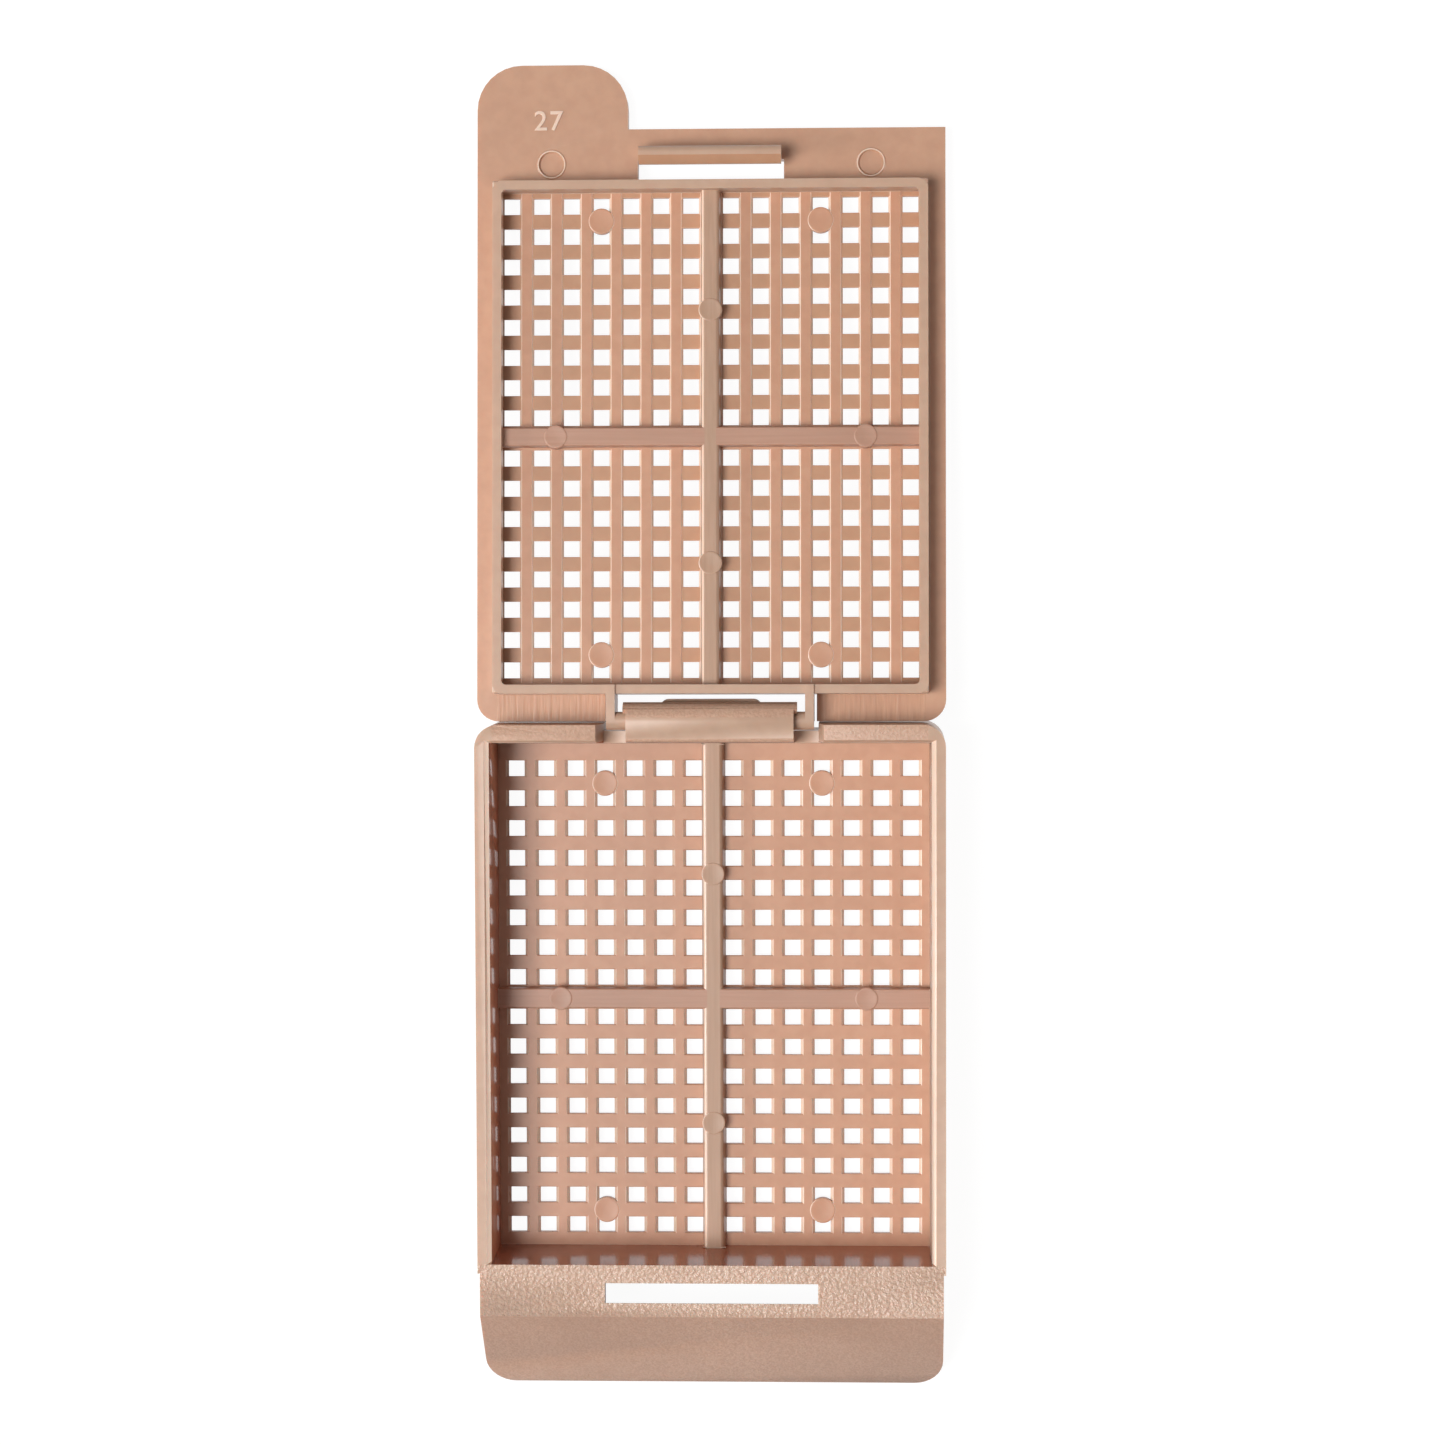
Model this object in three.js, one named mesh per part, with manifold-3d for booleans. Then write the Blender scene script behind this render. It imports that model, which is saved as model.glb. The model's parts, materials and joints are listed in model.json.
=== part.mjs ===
// Tissue cassette for histology: a perforated base tray with a sloped writing face, and a perforated
// lid that clips into a hinge at the rear of the base and snaps shut at the front.
// Millimetres, +Z up. The origin is the middle of the base's perforated floor, at its underside.
// +Y points to the hinge and -Y to the writing face. The lid lies folded right open behind the base.
import * as THREE from "three";
import { mergeVertices } from "three/addons/utils/BufferGeometryUtils.js";
import Module from "manifold-3d";

// Perforated panels: both moulded pieces share one pattern of square holes. On the lid's inner face
// shallow slots along Y join the holes of each column, so the bars between the columns stand proud.
const holeWidth = 1.0; // at the inner face
const holeDraft = 0.14; // how far each side of a hole has opened out at the outer face
const pitchX = 1.8; // from hole to hole across the panel
const pitchY = 1.824;
const columnsPerSide = 7; // holes on each side of the middle ribs
const rowsPerSide = 8;
const middleStripX = 1.4; // solid strip left between the two halves
const middleStripY = 1.43;
const panelThickness = 1.0;
const lidSlotDepth = 0.25;

// Ejector pads, round spots that the mould's pins push on.
const padRadius = 0.73;
const padProud = 0.05;
const padRoot = 0.4; // how deep each pad's foot goes into the panel
const cornerPadColumn = 3; // the corner pads sit in this column, counted from the middle
const cornerPadRow = 6.5; // between two rows
const sidePadColumn = 4.5;
const endPadRow = 3.5;

// Base tray.
const baseHeight = 6.0;
const cavityWidth = 26.24; // at the floor
const cavityFront = 15.24; // from the panel's middle to the foot of the front wall
const cavityRear = 15.5;
const sideDraft = 0.09; // how far each wall leans out on its way up
const endDraft = 0.31;
const rimChamfer = 0.27; // along both sides
const rearRimChamfer = 0.15;
const sideWall = 0.84; // at the rim
const rearWall = 1.05; // at the rim
const rearCornerRadius = 1.35;
const baseRibHeight = 0.8; // above the floor
const baseRibWidthX = 1.4;
const baseRibWidthY = 1.22;

// Writing end of the base: a hollow hood with a flat top, a slope and a low front lip.
const hoodInset = 0.14; // each side stands in from the tray's side
const flatLength = 3.12; // from the cavity's rim to the top of the slope
const slopeAngle = THREE.MathUtils.degToRad(45);
const frontLipHeight = 1.0;
const hoodWall = 0.95;
const hoodCornerRadius = 1.7;
const frontWall = 0.55; // between the cavity's rim and the hood's hollow
const latchSlotLength = 12.8;
const latchSlotWidth = 1.2;
const latchSlotSetback = 0.54; // the lip that the latch hooks under
const latchSlotDraft = 0.18; // how far the slot's front face leans away on its way down

// Hinge: a bar on the lid, held under a half-round roof on the base.
const hingeBarRadius = 0.545;
const hingeBarLength = 12.4;
const hingeRunningGap = 0.1;
const roofLength = 10.0;
const roofEdgeRadius = 0.3; // on the roof's front edge, above the cavity's rear wall
const roofLipFlare = 0.2; // the roof's rear lip is longer by this at each end
const roofLipAngle = THREE.MathUtils.degToRad(50); // how far up the roof the lip reaches
const hingeBarDrop = 1.2; // from the lid's inner face to the bar's middle
const hingeBayLength = 12.92; // recess in the rear wall that the bar and its arms turn in
const bayLedgeHeight = 4.0;
const bayEndDraft = 0.35; // the bay's ends lean out by this much above the ledge
const tongueLength = 6.1; // snap tongue under the bar
const tongueReach = 1.25; // behind the hinge axis
const tongueThickness = 0.9;
const tongueCornerRadius = 0.5;
const armThickness = 0.52;
const armCutLength = 12.7; // gap in the lid's rear edge

// Lid.
const lidOverhangSide = 0.05; // past the base's sides
const lidOverhangRear = 0.2; // past the base's rear face, so the lid can fold back
const lidFrontSetback = 0.05; // from the lid's front edge to the top of the slope
const lidRearCornerRadius = 1.3;
const seatGap = 0.08; // between the closed lid and the base's rim
const frameDepth = 1.6;
const frameWall = 0.54;
const frameOuterRadius = 0.6;
const frameInnerRadius = 0.28;
const frameSideGap = 0.14; // to the cavity's walls
const frameFrontGap = 0.13;
const frameRearGap = 0.28;
const lidRibHeight = 0.9;
const lidRibWidthX = 1.17;
const lidRibWidthY = 1.14;
const tabWidth = 9.1;
const tabLength = 3.9; // past the lid's front edge
const tabCornerRadius = 2.7;
const markRadius = 0.85; // two shallow pin marks beside the latch
const markDepth = 0.08;
const markSpacing = 19.24;
const markSetback = 2.1; // from the lid's front edge

// Latch: a hooked blade on the lid that snaps through the slot in the base.
const latchLength = 8.54;
const latchStem = 0.6;
const latchSlotGap = 0.12; // from the stem's rear face to the slot's edge
const latchBite = 0.36; // how far the nose reaches under the slot's edge
const latchUnderGap = 0.12; // from the nose to the underside of the flat top
const latchNoseHeight = 0.75;
const latchNoseLand = 0.25; // flat part of the nose's face, before its lead-in slope
const latchTipRadius = 0.42;
const latchCoreLength = 8.8; // opening in the lid beside the blade, left by the mould's core

// The lid at rest, its tab just clear of what the base stands on.
const tabClearance = 0.03;

const cornerSteps = 8; // facets on a quarter of a rounded corner
const roundSteps = 28; // facets on a full circle

// Places that follow from the sizes above.
const baseWidth = cavityWidth + 2 * (sideDraft + sideWall);
const lidWidth = baseWidth + 2 * lidOverhangSide;
const rimY = { front: -cavityFront - endDraft, rear: cavityRear + endDraft };
const baseRearY = rimY.rear + rearWall;
const slopeTopY = rimY.front - flatLength;
const slopeFall = baseHeight - frontLipHeight;
const baseFrontY = slopeTopY - slopeFall / Math.tan(slopeAngle);
const hollowRearY = rimY.front - frontWall;
const slotRearY = hollowRearY - latchSlotSetback;
const slotFrontY = slotRearY - latchSlotWidth;
const lidInnerZ = baseHeight + seatGap;
const lidOuterZ = lidInnerZ + panelThickness;
const hingeY = baseRearY + lidOverhangRear;
const hingeZ = lidInnerZ - hingeBarDrop;
const lidFrontY = slopeTopY + lidFrontSetback;
const frameDrop = (lidInnerZ - frameDepth - panelThickness) / (baseHeight - panelThickness);
const frameHalfWidth = cavityWidth / 2 + sideDraft * frameDrop - frameSideGap;
const frameY = {
  front: -cavityFront - endDraft * frameDrop + frameFrontGap,
  rear: cavityRear + endDraft * frameDrop - frameRearGap,
};

const wasm = await Module();
wasm.setup();

// A closed three.js geometry as a solid that can be joined and cut.
function solidFrom(geometry) {
  const bare = geometry.index ? geometry.toNonIndexed() : geometry.clone();
  bare.deleteAttribute("normal");
  bare.deleteAttribute("uv");
  const merged = mergeVertices(bare, 1e-5);
  return new wasm.Manifold(
    new wasm.Mesh({
      numProp: 3,
      vertProperties: merged.attributes.position.array,
      triVerts: Uint32Array.from(merged.index.array),
    }),
  );
}

const join = (solids) => solids.reduce((whole, piece) => whole.add(piece));
const cut = (solid, tools) => solid.subtract(join(tools));

function meshFrom(name, solid, material) {
  const { vertProperties, triVerts } = solid.getMesh();
  const geometry = new THREE.BufferGeometry();
  geometry.setAttribute("position", new THREE.BufferAttribute(vertProperties, 3));
  geometry.setIndex(new THREE.BufferAttribute(triVerts, 1));
  geometry.computeVertexNormals();
  const mesh = new THREE.Mesh(geometry, material);
  mesh.name = name;
  return mesh;
}

// A block between two limits on each axis. lean moves its top edges out: [sides, front and rear].
function block([x0, x1], [y0, y1], [z0, z1], lean = [0, 0]) {
  const box = new THREE.BoxGeometry(x1 - x0, y1 - y0, z1 - z0);
  const corner = box.getAttribute("position");
  for (let i = 0; i < corner.count; i++) {
    if (corner.getZ(i) < 0) continue;
    corner.setX(i, corner.getX(i) + Math.sign(corner.getX(i)) * lean[0]);
    corner.setY(i, corner.getY(i) + Math.sign(corner.getY(i)) * lean[1]);
  }
  return solidFrom(box.translate((x0 + x1) / 2, (y0 + y1) / 2, (z0 + z1) / 2));
}

const about = (middle, length) => [middle - length / 2, middle + length / 2];

// A plate with its own radius at each corner: front left, front right, rear right, rear left.
function roundedPlate([x0, x1], [y0, y1], [z0, z1], radii) {
  const corners = [[x0, y0], [x1, y0], [x1, y1], [x0, y1]];
  const points = corners.flatMap(([x, y], i) => {
    const r = radii[i];
    if (!r) return [new THREE.Vector2(x, y)];
    const cx = x + (x === x0 ? r : -r);
    const cy = y + (y === y0 ? r : -r);
    const start = Math.PI * (1 + i / 2);
    return Array.from({ length: cornerSteps + 1 }, (_, k) => {
      const angle = start + ((Math.PI / 2) * k) / cornerSteps;
      return new THREE.Vector2(cx + r * Math.cos(angle), cy + r * Math.sin(angle));
    });
  });
  const plate = new THREE.ExtrudeGeometry(new THREE.Shape(points), {
    depth: z1 - z0,
    bevelEnabled: false,
  });
  return solidFrom(plate.translate(0, 0, z0));
}

// A bar along X whose section is a list of [y, z] points.
function barAlongX(section, [x0, x1]) {
  const shape = new THREE.Shape(section.map(([y, z]) => new THREE.Vector2(y, z)));
  const bar = new THREE.ExtrudeGeometry(shape, { depth: x1 - x0, bevelEnabled: false });
  const turn = new THREE.Matrix4().makeBasis(
    new THREE.Vector3(0, 1, 0),
    new THREE.Vector3(0, 0, 1),
    new THREE.Vector3(1, 0, 0),
  );
  return solidFrom(bar.applyMatrix4(turn).translate(x0, 0, 0));
}

// Points of a section along an arc.
function arc([y, z], radius, from, to) {
  const steps = Math.ceil((roundSteps * Math.abs(to - from)) / (2 * Math.PI));
  return Array.from({ length: steps + 1 }, (_, k) => {
    const angle = from + ((to - from) * k) / steps;
    return [y + radius * Math.cos(angle), z + radius * Math.sin(angle)];
  });
}

function disc(x, y, radius, [z0, z1]) {
  const round = new THREE.CylinderGeometry(radius, radius, z1 - z0, roundSteps);
  return solidFrom(round.rotateX(Math.PI / 2).translate(x, y, (z0 + z1) / 2));
}

// Middles of the holes, counted from the middle strips.
const acrossPanel = (count) => (middleStripX + holeWidth) / 2 + count * pitchX;
const alongPanel = (count) => (middleStripY + holeWidth) / 2 + count * pitchY;

function bothSides(perSide, place) {
  const side = Array.from({ length: perSide }, (_, k) => place(k));
  return [...side.map((middle) => -middle), ...side];
}

// The square holes open out from innerZ to the outer face, which lies up (1) or down (-1) from it.
// The tools run half a panel's thickness past each face.
function panelHoles(innerZ, outward) {
  const z = about(innerZ + (outward * panelThickness) / 2, 2 * panelThickness);
  const narrow = holeWidth - holeDraft;
  const bottom = outward > 0 ? narrow : narrow + 4 * holeDraft;
  const lean = 2 * holeDraft * outward;
  return bothSides(columnsPerSide, acrossPanel).flatMap((x) =>
    bothSides(rowsPerSide, alongPanel).map((y) =>
      block(about(x, bottom), about(y, bottom), z, [lean, lean]),
    ),
  );
}

function panelSlots(z) {
  const end = alongPanel(rowsPerSide - 1) + holeWidth / 2;
  return bothSides(columnsPerSide, acrossPanel).flatMap((x) => [
    block(about(x, holeWidth), [middleStripY / 2, end], z),
    block(about(x, holeWidth), [-end, -middleStripY / 2], z),
  ]);
}

// Ejector pads: four between the holes near the corners, and two on each middle rib.
function ejectorPads(panelZ, ribZ) {
  const corner = { x: acrossPanel(cornerPadColumn), y: alongPanel(cornerPadRow) };
  return [-1, 1].flatMap((side) => [
    disc(-corner.x, side * corner.y, padRadius, panelZ),
    disc(corner.x, side * corner.y, padRadius, panelZ),
    disc(side * acrossPanel(sidePadColumn), 0, padRadius, ribZ),
    disc(0, side * alongPanel(endPadRow), padRadius, ribZ),
  ]);
}

// The hood over the writing end, seen from the side, drawn in by a wall on its two outer faces.
function hoodSection(rearY, topZ, wall) {
  const lowerZ = frontLipHeight - wall * (Math.SQRT2 - 1);
  const frontY = baseFrontY + wall;
  const topY = frontY + (topZ - lowerZ) / Math.tan(slopeAngle);
  return [[rearY, 0], [rearY, topZ], [topY, topZ], [frontY, lowerZ], [frontY, 0]];
}

function writingHood() {
  const side = baseWidth / 2 - hoodInset;
  const outside = barAlongX(hoodSection(rimY.front, baseHeight, 0), [-side, side]);
  const plan = roundedPlate(
    [-side, side],
    [baseFrontY, 0],
    [0, baseHeight],
    [hoodCornerRadius, hoodCornerRadius, 0, 0],
  );
  return outside.intersect(plan);
}

function writingHoodHollow() {
  const side = baseWidth / 2 - hoodInset - hoodWall;
  const section = hoodSection(hollowRearY, baseHeight - hoodWall, hoodWall);
  const inside = barAlongX(section.map(([y, z]) => [y, z || -1]), [-side, side]);
  const radius = hoodCornerRadius - hoodWall;
  const plan = roundedPlate(
    [-side, side],
    [baseFrontY + hoodWall, 0],
    [-1, baseHeight],
    [radius, radius, 0, 0],
  );
  return inside.intersect(plan);
}

// The roof that holds the lid's bar down, level with the rim and rounded over the bar at the rear,
// and the tongue that springs under it.
function hingeCatch() {
  const seat = hingeBarRadius + hingeRunningGap;
  const outside = baseHeight - hingeZ;
  const axis = [hingeY, hingeZ];
  const frontEdge = [rimY.rear + roofEdgeRadius, baseHeight - roofEdgeRadius];
  const roof = barAlongX(
    [
      [cavityRear, 0],
      [cavityRear, panelThickness],
      ...arc(frontEdge, roofEdgeRadius, Math.PI, Math.PI / 2),
      ...arc(axis, outside, Math.PI / 2, 0),
      ...arc(axis, seat, 0, Math.PI),
      [hingeY - seat, 0],
    ],
    about(0, roofLength),
  );
  const lip = barAlongX(
    [...arc(axis, outside, 0, roofLipAngle), ...arc(axis, seat, roofLipAngle, 0)],
    about(0, roofLength + 2 * roofLipFlare),
  );
  const tongueTop = hingeZ - seat - hingeRunningGap;
  const tongue = roundedPlate(
    about(0, tongueLength),
    [cavityRear + endDraft, hingeY + tongueReach],
    [tongueTop - tongueThickness, tongueTop],
    [0, 0, tongueCornerRadius, tongueCornerRadius],
  );
  return join([roof, lip, tongue]);
}

function base() {
  const side = baseWidth / 2;
  const cavityX = about(0, cavityWidth);
  const cavityY = [-cavityFront, cavityRear];
  const tray = roundedPlate(
    [-side, side],
    [rimY.front - frontWall, baseRearY],
    [0, baseHeight],
    [0, 0, rearCornerRadius, rearCornerRadius],
  );
  const cavity = block(cavityX, cavityY, [panelThickness, baseHeight], [sideDraft, endDraft]);
  const rim = block(
    about(0, cavityWidth + 2 * sideDraft),
    [rimY.front + rearRimChamfer, rimY.rear],
    [baseHeight - rimChamfer, baseHeight],
    [rimChamfer, rearRimChamfer],
  );
  const seatFace = hingeY - hingeBarRadius - hingeRunningGap;
  const bayX = about(0, hingeBayLength);
  const bay = block(bayX, [seatFace, hingeY], [-1, baseHeight + 1]);
  const bayTop = block(
    bayX,
    [cavityRear, hingeY],
    [bayLedgeHeight, baseHeight],
    [bayEndDraft, 0],
  );
  const slot = barAlongX(
    [
      [slotRearY, baseHeight + 1],
      [slotRearY, baseHeight - 2 * hoodWall],
      [slotFrontY - 2 * latchSlotDraft, baseHeight - 2 * hoodWall],
      [slotFrontY, baseHeight],
      [slotFrontY, baseHeight + 1],
    ],
    about(0, latchSlotLength),
  );
  const shell = cut(join([tray, writingHood()]), [
    cavity,
    rim,
    bay,
    bayTop,
    slot,
    writingHoodHollow(),
  ]);
  const ribTop = panelThickness + baseRibHeight;
  const ribZ = [panelThickness - padRoot, ribTop];
  const ribs = [
    block(about(0, baseRibWidthX), cavityY, ribZ),
    block(cavityX, about(0, baseRibWidthY), ribZ),
  ];
  const perforated = cut(shell, panelHoles(panelThickness, -1));
  const pads = ejectorPads(
    [panelThickness - padRoot, panelThickness + padProud],
    [panelThickness - padRoot, ribTop + padProud],
  );
  return join([perforated, ...ribs, ...pads, hingeCatch()]);
}

// The plate of the closed lid, with its tab, its rear gap and the opening beside the latch.
function lidPlate() {
  const side = lidWidth / 2;
  const z = [lidInnerZ, lidOuterZ];
  const plate = roundedPlate(
    [-side, side],
    [lidFrontY, hingeY],
    z,
    [0, 0, lidRearCornerRadius, lidRearCornerRadius],
  );
  const tab = roundedPlate(
    [-side, tabWidth - side],
    [lidFrontY - tabLength, frameY.front],
    z,
    [tabCornerRadius, tabCornerRadius, 0, 0],
  );
  const through = [lidInnerZ - 1, lidOuterZ + 1];
  const rearGap = block(about(0, armCutLength), [frameY.rear, hingeY + 1], through);
  const coreGap = block(about(0, latchCoreLength), [latchRearY, frameY.front], through);
  const markY = lidFrontY + markSetback;
  const marks = [-1, 1].map((hand) =>
    disc((hand * markSpacing) / 2, markY, markRadius, [lidInnerZ - 1, lidInnerZ + markDepth]),
  );
  return cut(join([plate, tab]), [rearGap, coreGap, ...marks]);
}

// The rim that drops into the base's cavity.
function lidFrame() {
  const z = [lidInnerZ - frameDepth, lidOuterZ];
  const frame = roundedPlate(
    [-frameHalfWidth, frameHalfWidth],
    [frameY.front, frameY.rear],
    z,
    Array(4).fill(frameOuterRadius),
  );
  const recess = roundedPlate(
    [frameWall - frameHalfWidth, frameHalfWidth - frameWall],
    [frameY.front + frameWall, frameY.rear - frameWall],
    [lidInnerZ - frameDepth - 1, lidInnerZ],
    Array(4).fill(frameInnerRadius),
  );
  return frame.subtract(recess);
}

function hingeBar() {
  const bar = new THREE.CylinderGeometry(hingeBarRadius, hingeBarRadius, hingeBarLength, roundSteps);
  const arms = [-1, 1].map((hand) => {
    const outer = (hand * hingeBarLength) / 2;
    const x = [outer, outer - hand * armThickness].sort((a, b) => a - b);
    return block(x, [frameY.rear - frameWall, hingeY], [hingeZ - hingeBarRadius, lidOuterZ]);
  });
  return join([solidFrom(bar.rotateZ(Math.PI / 2).translate(0, hingeY, hingeZ)), ...arms]);
}

const latchRearY = slotRearY - latchSlotGap; // rear face of the blade's stem

function latchBlade() {
  const frontY = latchRearY - latchStem;
  const noseY = slotRearY + latchBite;
  const noseTop = baseHeight - hoodWall - latchUnderGap;
  const noseBottom = noseTop - latchNoseHeight;
  const tipMiddle = [frontY + latchTipRadius, noseBottom + latchTipRadius];
  const section = [
    [frontY, lidOuterZ],
    ...arc(tipMiddle, latchTipRadius, Math.PI, 1.5 * Math.PI),
    [latchRearY, noseBottom],
    [noseY, noseTop - latchNoseLand],
    [noseY, noseTop],
    [latchRearY, noseTop],
    [latchRearY, lidOuterZ],
  ];
  return barAlongX(section, about(0, latchLength));
}

function lid() {
  const rootZ = lidInnerZ + padRoot;
  const ribZ = [lidInnerZ - lidRibHeight, rootZ];
  const within = {
    x: [frameWall / 2 - frameHalfWidth, frameHalfWidth - frameWall / 2],
    y: [frameY.front + frameWall / 2, frameY.rear - frameWall / 2],
  };
  const ribs = [
    block(about(0, lidRibWidthX), within.y, ribZ),
    block(within.x, about(0, lidRibWidthY), ribZ),
  ];
  const perforated = cut(join([lidPlate(), lidFrame()]), [
    ...panelHoles(lidInnerZ, 1),
    ...panelSlots([lidInnerZ - frameDepth / 2, lidInnerZ + lidSlotDepth]),
  ]);
  const pads = ejectorPads(
    [lidInnerZ - padProud, rootZ],
    [lidInnerZ - lidRibHeight - padProud, rootZ],
  );
  return join([perforated, ...ribs, ...pads, hingeBar(), latchBlade()]);
}

// How far the lid is folded back, from closed, when its tab comes down behind the base.
function openAngle() {
  const tabReach = hingeY - (lidFrontY - tabLength);
  const outerFace = lidOuterZ - hingeZ;
  const lean = Math.atan2(tabReach, outerFace);
  const radius = Math.hypot(tabReach, outerFace);
  return Math.PI + lean - Math.acos((hingeZ - tabClearance) / radius);
}

const acetal = () =>
  new THREE.MeshStandardMaterial({ color: 0xc89d83, roughness: 0.45, metalness: 0 });

const cassette = new THREE.Group();
cassette.add(meshFrom("base", base(), acetal()));

const hinge = new THREE.Group();
hinge.position.set(0, hingeY, hingeZ);
hinge.rotation.x = -openAngle();
hinge.add(meshFrom("lid", lid().translate([0, -hingeY, -hingeZ]), acetal()));
cassette.add(hinge);

export default cassette;
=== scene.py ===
import json
import math

import bmesh
import bpy
from mathutils import Matrix, Vector


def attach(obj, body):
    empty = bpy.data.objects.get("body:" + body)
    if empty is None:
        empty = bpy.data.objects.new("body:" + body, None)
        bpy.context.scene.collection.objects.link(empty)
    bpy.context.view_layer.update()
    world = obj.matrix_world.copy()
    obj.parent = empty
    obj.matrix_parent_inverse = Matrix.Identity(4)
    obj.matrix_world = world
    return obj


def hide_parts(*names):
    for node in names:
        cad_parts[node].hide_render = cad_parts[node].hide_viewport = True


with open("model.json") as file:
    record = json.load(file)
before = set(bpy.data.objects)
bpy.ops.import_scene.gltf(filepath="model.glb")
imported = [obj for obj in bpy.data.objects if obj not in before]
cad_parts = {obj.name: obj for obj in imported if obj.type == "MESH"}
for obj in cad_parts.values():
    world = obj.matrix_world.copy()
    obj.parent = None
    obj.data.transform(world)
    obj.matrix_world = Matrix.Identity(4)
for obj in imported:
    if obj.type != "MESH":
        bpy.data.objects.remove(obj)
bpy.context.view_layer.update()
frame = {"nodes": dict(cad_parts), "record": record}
print("packed frame loaded")

# Meshes are modelled in millimetres, and each is turned into metres once it is finished.
millimetre = 0.001

# Points nearer than this are one: in what is made here, in the solids, and where flat faces join.
weld = {"made": 0.001, "solid": 0.002, "flats": 0.004}


def addObject(name, bm):
    mesh = bpy.data.meshes.new(name)
    bm.to_mesh(mesh)
    bm.free()
    thing = bpy.data.objects.new(name, mesh)
    bpy.context.scene.collection.objects.link(thing)
    return thing


# A closed block between two limits on each axis, with its edges rounded. spread moves the foot of
# its sides out, across X and across Y.
def roundedBlock(name, xLimits, yLimits, zLimits, radius, segments=3, spread=(0, 0)):
    bm = bmesh.new()
    bmesh.ops.create_cube(bm, size=1)
    limits = (xLimits, yLimits, zLimits)
    size = Vector([high - low for low, high in limits])
    middle = Vector([(high + low) / 2 for low, high in limits])
    for v in bm.verts:
        foot = Vector((*spread, 0)) if v.co.z < 0 else Vector()
        v.co = Vector([v.co[i] * (size[i] + 2 * foot[i]) for i in range(3)]) + middle
    if radius:
        bmesh.ops.bevel(
            bm, geom=bm.edges[:], offset=radius, segments=segments, profile=0.5,
            affect="EDGES", clamp_overlap=True,
        )
    return addObject(name, bm)


# Turns a profile of (radius, height) points about an upright axis at centre.
def turnedPiece(name, centre, profile, steps=40):
    bm = bmesh.new()
    points = [bm.verts.new((r, 0, z)) for r, z in profile]
    edges = [bm.edges.new(pair) for pair in zip(points, points[1:])]
    bmesh.ops.spin(
        bm, geom=points + edges, cent=(0, 0, 0), axis=(0, 0, 1), angle=math.tau, steps=steps,
        use_merge=True,
    )
    bmesh.ops.remove_doubles(bm, verts=bm.verts[:], dist=weld["made"])
    bmesh.ops.recalc_face_normals(bm, faces=bm.faces[:])
    bmesh.ops.translate(bm, vec=(centre[0], centre[1], 0), verts=bm.verts[:])
    return addObject(name, bm)


# Joins or cuts with the manifold solver, then throws the tools away.
def combine(target, tools, operation):
    for tool in tools:
        step = target.modifiers.new("join", "BOOLEAN")
        step.operation = operation
        step.solver = "MANIFOLD"
        step.object = tool
    applyModifiers(target)
    for tool in tools:
        bpy.data.objects.remove(tool)


def applyModifiers(thing):
    depsgraph = bpy.context.evaluated_depsgraph_get()
    mesh = bpy.data.meshes.new_from_object(thing.evaluated_get(depsgraph))
    thing.modifiers.clear()
    thing.data = mesh


# A node's own solid in millimetres.
def copyNode(node, name, turn=Matrix.Identity(4)):
    bm = bmesh.new()
    bm.from_mesh(frame["nodes"][node].data)
    bmesh.ops.scale(bm, vec=Vector((1, 1, 1)) / millimetre, verts=bm.verts[:])
    bm.transform(turn)
    bmesh.ops.remove_doubles(bm, verts=bm.verts[:], dist=weld["solid"])
    return addObject(name, bm)


# Cuts the faces along planes and keeps the cuts where the mould's finish changes.
def splitByFinish(thing, planes, chooseFinish):
    bm = bmesh.new()
    bm.from_mesh(thing.data)
    for point, normal in planes:
        parts = bm.verts[:] + bm.edges[:] + bm.faces[:]
        bmesh.ops.bisect_plane(
            bm, geom=parts, plane_co=point, plane_no=normal, dist=weld["made"]
        )
    names = list(acetalFinishes)
    bm.normal_update()
    for face in bm.faces:
        low, high = reachOf([v.co for v in face.verts])
        face.material_index = names.index(chooseFinish(low, high, face.normal))
    bm.to_mesh(thing.data)
    bm.free()
    for _ in names:
        thing.data.materials.append(None)


def reachOf(points):
    low = Vector([min(p[i] for p in points) for i in range(3)])
    high = Vector([max(p[i] for p in points) for i in range(3)])
    return low, high


# Makes one face of what lies in one plane, so that the edges round cleanly.
def dissolveFlats(thing, flatWithin=1):
    bm = bmesh.new()
    bm.from_mesh(thing.data)
    bmesh.ops.remove_doubles(bm, verts=bm.verts[:], dist=weld["flats"])
    bmesh.ops.dissolve_degenerate(bm, edges=bm.edges[:], dist=weld["flats"])
    bmesh.ops.dissolve_limit(
        bm, angle_limit=math.radians(flatWithin), verts=bm.verts[:], edges=bm.edges[:],
        delimit={"MATERIAL"},
    )
    bm.to_mesh(thing.data)
    bm.free()


def roundEdges(thing, width, segments=3, angle=25):
    bevel = thing.modifiers.new("soft edges", "BEVEL")
    bevel.width = width
    bevel.segments = segments
    bevel.limit_method = "ANGLE"
    bevel.angle_limit = math.radians(angle)
    bevel.use_clamp_overlap = True
    applyModifiers(thing)


# The perforated panel that both mouldings share: bars along X and bars along Y, narrower at the
# outer face, so that the square holes between them open out. Each hole has a chamfered rim. On the
# lid the bars along Y stand a little proud of the others.
panel = {
    "hole": (1.0, 1.0),  # in the solids, at the inner face
    "neck": (0.91, 0.94),  # narrowest, below the chamfered rim
    "pitchX": 1.8,
    "pitchY": 1.824,
    "columnsPerSide": 7,
    "rowsPerSide": 8,
    "middleStripX": 1.4,
    "middleStripY": 1.43,
    "thickness": 1.0,
    "draft": 0.1,
    "padRadius": 0.74,
    "ribPadShare": 0.9,  # the radius of the pads on the ribs, beside the others
    "padProud": 0.035,
    "padLip": 0.08,
    "padDish": 0.018,
    "cornerPad": (3, 6.5),  # the pads' places, in holes from the middle
    "sidePad": 4.5,
    "endPad": 3.5,
}


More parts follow.
